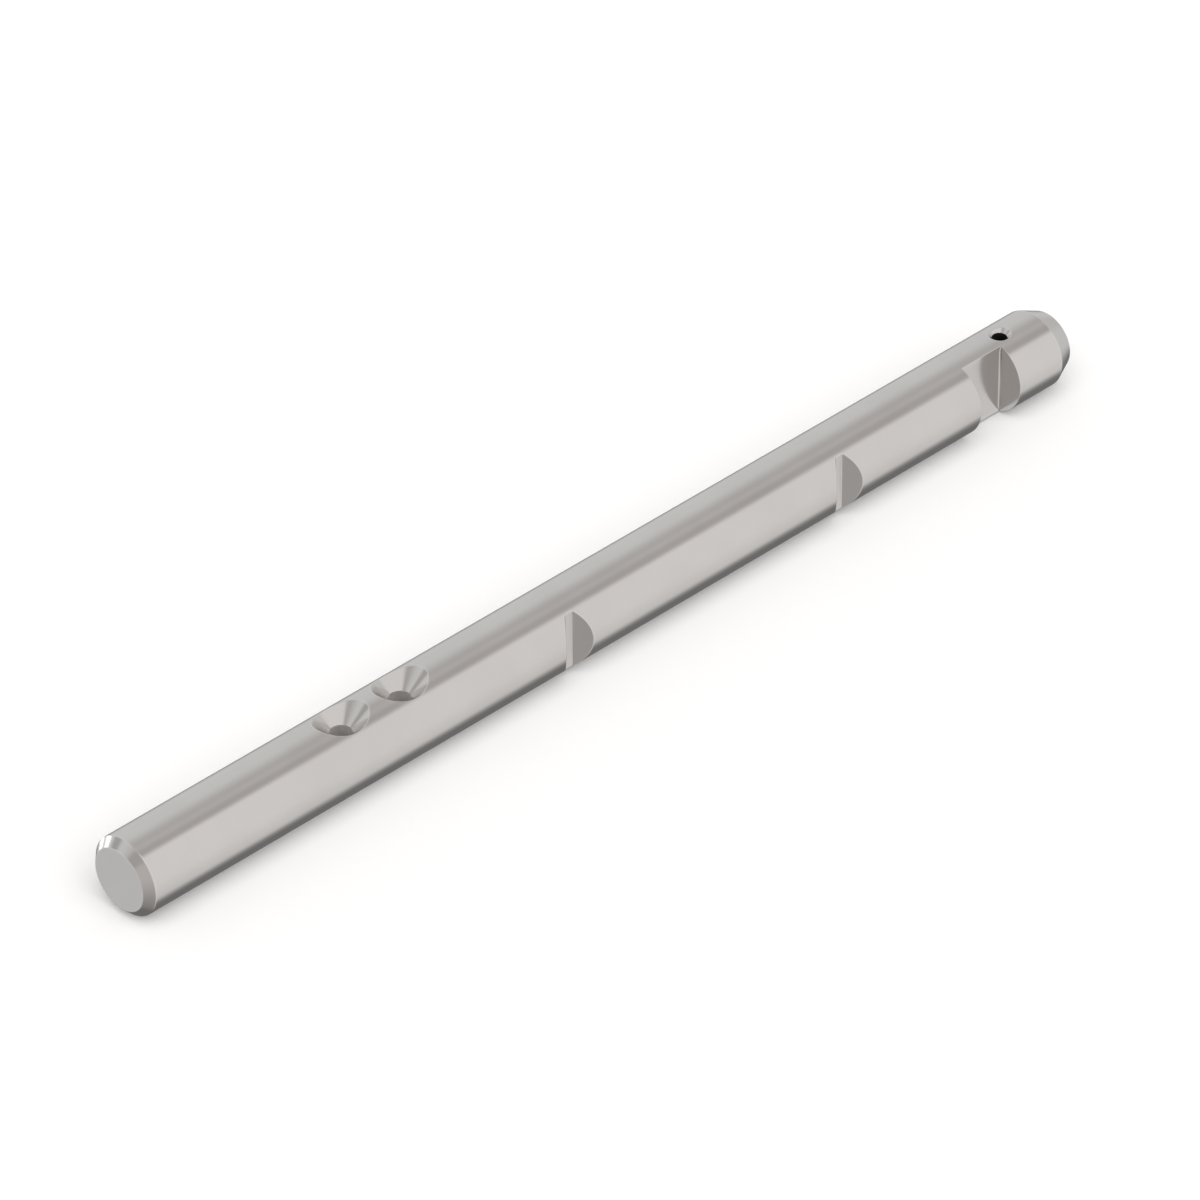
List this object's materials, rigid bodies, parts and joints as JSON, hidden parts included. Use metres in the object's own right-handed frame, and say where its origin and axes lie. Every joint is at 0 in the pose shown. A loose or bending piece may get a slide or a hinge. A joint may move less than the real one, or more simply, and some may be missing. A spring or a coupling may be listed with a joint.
{
  "type": "shifter rod",
  "caption": "Round ground-steel shifter rod with side detent notches, a square finger slot, conical fork-screw seats and a cross pin hole.",
  "frame": {"origin": "centre of the datum end face, on the rod's axis", "axes": "+X along the rod towards the slotted end, -Y towards the notched side, +Z towards the drilled side"},
  "size_m": [0.24, 0.016, 0.016],
  "materials": {
    "ground_steel": "ground and polished, with milled notches and slot"
  },
  "bodies": {
    "root": {"shifter_rod": "ground_steel"}
  },
  "joints": []
}
